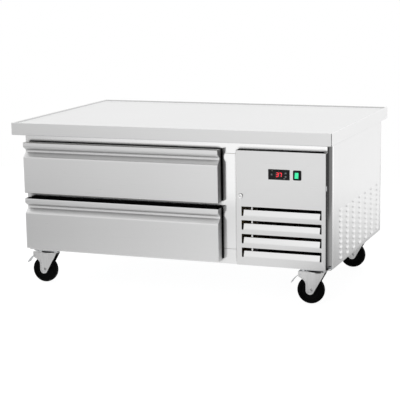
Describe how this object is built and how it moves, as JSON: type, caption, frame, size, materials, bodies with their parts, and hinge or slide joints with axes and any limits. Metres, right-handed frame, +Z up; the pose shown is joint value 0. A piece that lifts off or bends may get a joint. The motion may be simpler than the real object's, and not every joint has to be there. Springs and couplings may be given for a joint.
{
  "type": "refrigerated chef base",
  "caption": "Low refrigerated chef base on casters: stainless worktop over insulated drawers with pan frames, beside a condensing unit behind a hinged louvred service panel.",
  "frame": {"origin": "on the floor, under the middle of the worktop", "axes": "+X to the right of someone facing the drawers, +Y to the back, +Z up"},
  "size_m": [1.2644, 0.835, 0.64],
  "materials": {
    "satin_steel": "brushed stainless sheet",
    "polished_steel": "polished stainless sheet",
    "galvanised_steel": "galvanised sheet",
    "zinc_plate": "bright zinc plated steel",
    "aluminium": "mill-finish fins and plates",
    "copper": "drawn copper tube",
    "black_enamel": "black enamelled steel",
    "black_plastic": "moulded black plastic",
    "dark_glass": "smoked display window",
    "grey_key": "moulded grey plastic",
    "green_lens": "translucent green plastic",
    "white_plastic": "moulded white plastic",
    "rubber": "black rubber",
    "foam": "foamed-in-place insulation",
    "plywood": "sealed board"
  },
  "bodies": {
    "cabinet": {"worktop": "satin_steel", "worktop_core": "plywood", "front_frame": "polished_steel", "centre_mullion": "polished_steel", "drawer_divider": "polished_steel", "left_side_panel": "satin_steel", "right_side_panel": "satin_steel", "back_panel": "galvanised_steel", "base_pan": "galvanised_steel", "liner": "satin_steel", "insulation": "foam", "left_slide_rack": "zinc_plate", "right_slide_rack": "zinc_plate", "unit_tray": "galvanised_steel", "compressor": "black_enamel", "condenser_coil": "aluminium", "fan_shroud": "galvanised_steel", "condenser_fan_motor": "black_enamel", "refrigerant_lines": "copper", "electrical_box": "galvanised_steel", "condensate_pan": "galvanised_steel", "cord_gland": "black_plastic", "evaporator_coil": "aluminium", "evaporator_cover": "satin_steel", "evaporator_fan_motor": "black_enamel", "front_left_caster_plate": "zinc_plate", "front_right_caster_plate": "zinc_plate", "rear_left_caster_plate": "zinc_plate", "rear_right_caster_plate": "zinc_plate"},
    "upper_slides": {"upper_drawer_left_slide": "zinc_plate", "upper_drawer_right_slide": "zinc_plate"},
    "upper_drawer": {"upper_drawer_front": "satin_steel", "upper_drawer_gasket": "rubber", "upper_drawer_frame": "satin_steel"},
    "lower_slides": {"lower_drawer_left_slide": "zinc_plate", "lower_drawer_right_slide": "zinc_plate"},
    "lower_drawer": {"lower_drawer_front": "satin_steel", "lower_drawer_gasket": "rubber", "lower_drawer_frame": "satin_steel"},
    "service_panel": {"service_panel": "satin_steel", "controller_housing": "black_plastic", "controller_window": "dark_glass", "switch_bezel": "black_plastic"},
    "panel_lock": {"panel_lock": "zinc_plate"},
    "switch_rocker": {"switch_rocker": "green_lens"},
    "key_set": {"key_set": "grey_key"},
    "key_up": {"key_up": "grey_key"},
    "key_down": {"key_down": "grey_key"},
    "condenser_fan": {"condenser_fan": "black_plastic"},
    "evaporator_fan": {"evaporator_fan": "white_plastic"},
    "front_left_fork": {"front_left_caster_fork": "zinc_plate"},
    "front_left_wheel": {"front_left_caster_wheel": "rubber"},
    "front_left_brake": {"front_left_brake_pedal": "zinc_plate"},
    "front_right_fork": {"front_right_caster_fork": "zinc_plate"},
    "front_right_wheel": {"front_right_caster_wheel": "rubber"},
    "front_right_brake": {"front_right_brake_pedal": "zinc_plate"},
    "rear_left_fork": {"rear_left_caster_fork": "zinc_plate"},
    "rear_left_wheel": {"rear_left_caster_wheel": "rubber"},
    "rear_right_fork": {"rear_right_caster_fork": "zinc_plate"},
    "rear_right_wheel": {"rear_right_caster_wheel": "rubber"}
  },
  "joints": [
    {"name": "upper_drawer_slide", "type": "slide", "parent": "cabinet", "child": "upper_drawer", "axis": [0, -1, 0], "range_m": [0, 0.5]},
    {"name": "upper_slides_slide", "type": "slide", "parent": "cabinet", "child": "upper_slides", "axis": [0, -1, 0], "range_m": [0, 0.25]},
    {"name": "lower_drawer_slide", "type": "slide", "parent": "cabinet", "child": "lower_drawer", "axis": [0, -1, 0], "range_m": [0, 0.5]},
    {"name": "lower_slides_slide", "type": "slide", "parent": "cabinet", "child": "lower_slides", "axis": [0, -1, 0], "range_m": [0, 0.25]},
    {"name": "service_panel_hinge", "type": "hinge", "parent": "cabinet", "child": "service_panel", "pos_m": [0.5896, -0.3542, 0.35], "axis": [0, 0, 1], "range_deg": [0, 95]},
    {"name": "panel_lock_turn", "type": "hinge", "parent": "service_panel", "child": "panel_lock", "pos_m": [0.2752, -0.3695, 0.3958], "axis": [0, 1, 0], "range_deg": [0, 90]},
    {"name": "switch_rocker_tilt", "type": "hinge", "parent": "service_panel", "child": "switch_rocker", "pos_m": [0.489, -0.3655, 0.479], "axis": [-1, 0, 0], "range_deg": [0, 16]},
    {"name": "key_set_press", "type": "slide", "parent": "service_panel", "child": "key_set", "axis": [0, 1, 0], "range_m": [0, 0.0008], "stiffness_N_per_m": 600},
    {"name": "key_up_press", "type": "slide", "parent": "service_panel", "child": "key_up", "axis": [0, 1, 0], "range_m": [0, 0.0008], "stiffness_N_per_m": 600},
    {"name": "key_down_press", "type": "slide", "parent": "service_panel", "child": "key_down", "axis": [0, 1, 0], "range_m": [0, 0.0008], "stiffness_N_per_m": 600},
    {"name": "condenser_fan_spin", "type": "hinge", "parent": "cabinet", "child": "condenser_fan", "pos_m": [0.4515, -0.2243, 0.2483], "axis": [0, 1, 0], "continuous": true},
    {"name": "evaporator_fan_spin", "type": "hinge", "parent": "cabinet", "child": "evaporator_fan", "pos_m": [0.0195, 0.2852, 0.442], "axis": [0, 1, 0], "continuous": true},
    {"name": "front_left_swivel", "type": "hinge", "parent": "cabinet", "child": "front_left_fork", "pos_m": [-0.542, -0.3076, 0.1214], "axis": [0, 0, 1], "continuous": true},
    {"name": "front_left_roll", "type": "hinge", "parent": "front_left_fork", "child": "front_left_wheel", "pos_m": [-0.562, -0.3076, 0.0508], "axis": [0, 1, 0], "continuous": true},
    {"name": "front_left_brake_press", "type": "hinge", "parent": "front_left_fork", "child": "front_left_brake", "pos_m": [-0.598, -0.3076, 0.1068], "axis": [0, -1, 0], "range_deg": [0, 15]},
    {"name": "front_right_swivel", "type": "hinge", "parent": "cabinet", "child": "front_right_fork", "pos_m": [0.542, -0.3076, 0.1214], "axis": [0, 0, 1], "continuous": true},
    {"name": "front_right_roll", "type": "hinge", "parent": "front_right_fork", "child": "front_right_wheel", "pos_m": [0.522, -0.3076, 0.0508], "axis": [0, 1, 0], "continuous": true},
    {"name": "front_right_brake_press", "type": "hinge", "parent": "front_right_fork", "child": "front_right_brake", "pos_m": [0.486, -0.3076, 0.1068], "axis": [0, -1, 0], "range_deg": [0, 15]},
    {"name": "rear_left_swivel", "type": "hinge", "parent": "cabinet", "child": "rear_left_fork", "pos_m": [-0.542, 0.2885, 0.1214], "axis": [0, 0, 1], "continuous": true},
    {"name": "rear_left_roll", "type": "hinge", "parent": "rear_left_fork", "child": "rear_left_wheel", "pos_m": [-0.562, 0.2885, 0.0508], "axis": [0, 1, 0], "continuous": true},
    {"name": "rear_right_swivel", "type": "hinge", "parent": "cabinet", "child": "rear_right_fork", "pos_m": [0.542, 0.2885, 0.1214], "axis": [0, 0, 1], "continuous": true},
    {"name": "rear_right_roll", "type": "hinge", "parent": "rear_right_fork", "child": "rear_right_wheel", "pos_m": [0.522, 0.2885, 0.0508], "axis": [0, 1, 0], "continuous": true}
  ],
  "couplings": [
    {"joint": "upper_slides_slide", "follows": "upper_drawer_slide", "ratio": 0.5},
    {"joint": "lower_slides_slide", "follows": "lower_drawer_slide", "ratio": 0.5}
  ]
}
